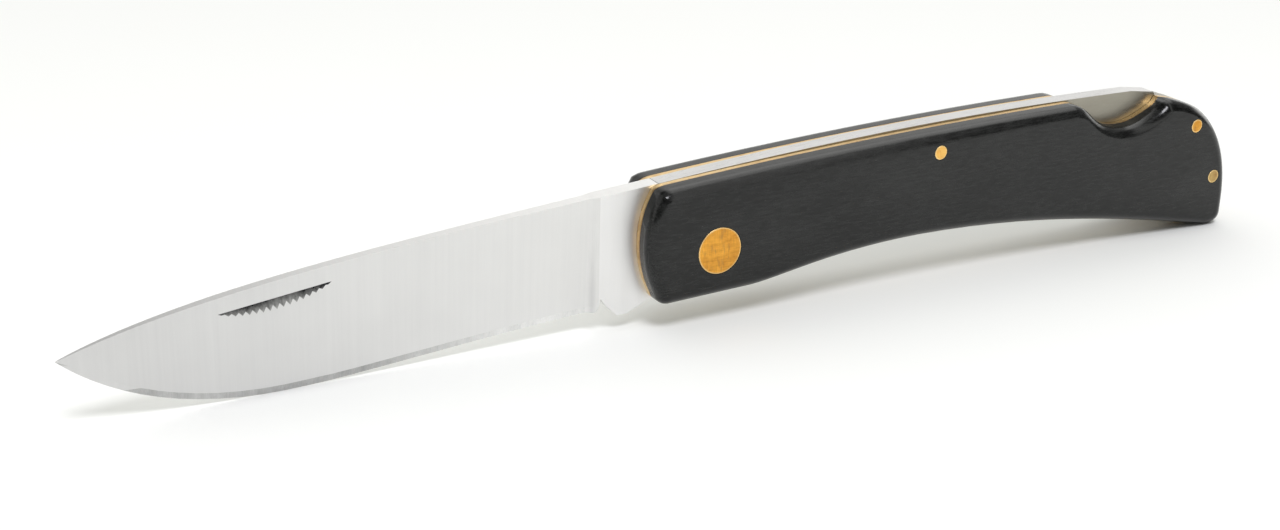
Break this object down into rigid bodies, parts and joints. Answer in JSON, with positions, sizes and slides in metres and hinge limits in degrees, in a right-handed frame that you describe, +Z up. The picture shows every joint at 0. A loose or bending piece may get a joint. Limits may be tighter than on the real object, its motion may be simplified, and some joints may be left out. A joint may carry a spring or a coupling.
{
  "type": "lock-back folding knife",
  "caption": "Folding pocket knife, open: a ground steel blade on a pivot, a rocking lock bar along the spine, brass liners and dark laminate covers.",
  "frame": {"origin": "middle of the open knife's bounding box, on the plane that it stands on, edge down", "axes": "+X from the tip to the butt, +Y from the left cover, which has the nail nick's side, to the right cover, +Z up from the edge to the spine"},
  "size_m": [0.2038, 0.012, 0.0261],
  "materials": {
    "blade_steel": "fine satin, ground across the blade, with a brighter ground edge",
    "bar_steel": "satin, polished flush along the spine",
    "spring_steel": "plain hardened steel, hidden inside",
    "liner_brass": "polished edges, lightly dulled",
    "cover_laminate": "dense resin laminate, satin, with fine grain along the handle",
    "pin_brass": "sanded flush, faint scratches"
  },
  "bodies": {
    "handle": {"butt_spacer": "bar_steel", "liner_left": "liner_brass", "liner_right": "liner_brass", "cover_left": "cover_laminate", "cover_right": "cover_laminate", "pivot_pin": "pin_brass", "pivot_cap_left": "pin_brass", "pivot_cap_right": "pin_brass", "rocker_pin": "pin_brass", "rear_upper_pin": "pin_brass", "rear_lower_pin": "pin_brass"},
    "blade": {"blade": "blade_steel"},
    "lock_bar": {"lock_bar": "bar_steel"},
    "back_spring": {"back_spring": "spring_steel"}
  },
  "joints": [
    {"name": "blade_pivot", "type": "hinge", "parent": "handle", "child": "blade", "pos_m": [-0.0036, 0, 0.01206], "axis": [0, -1, 0], "range_deg": [0, 174]},
    {"name": "lock_bar_rock", "type": "hinge", "parent": "handle", "child": "lock_bar", "pos_m": [0.0371, 0, 0.02216], "axis": [0, 1, 0], "range_deg": [0, 2.5], "stiffness_Nm_per_rad": 4, "springref_deg": -2.86},
    {"name": "spring_flex", "type": "hinge", "parent": "handle", "child": "back_spring", "pos_m": [0.0869, 0, 0.01671], "axis": [0, -1, 0], "range_deg": [0, 1.4]}
  ],
  "couplings": [
    {"joint": "spring_flex", "follows": "lock_bar_rock", "ratio": 0.532}
  ]
}
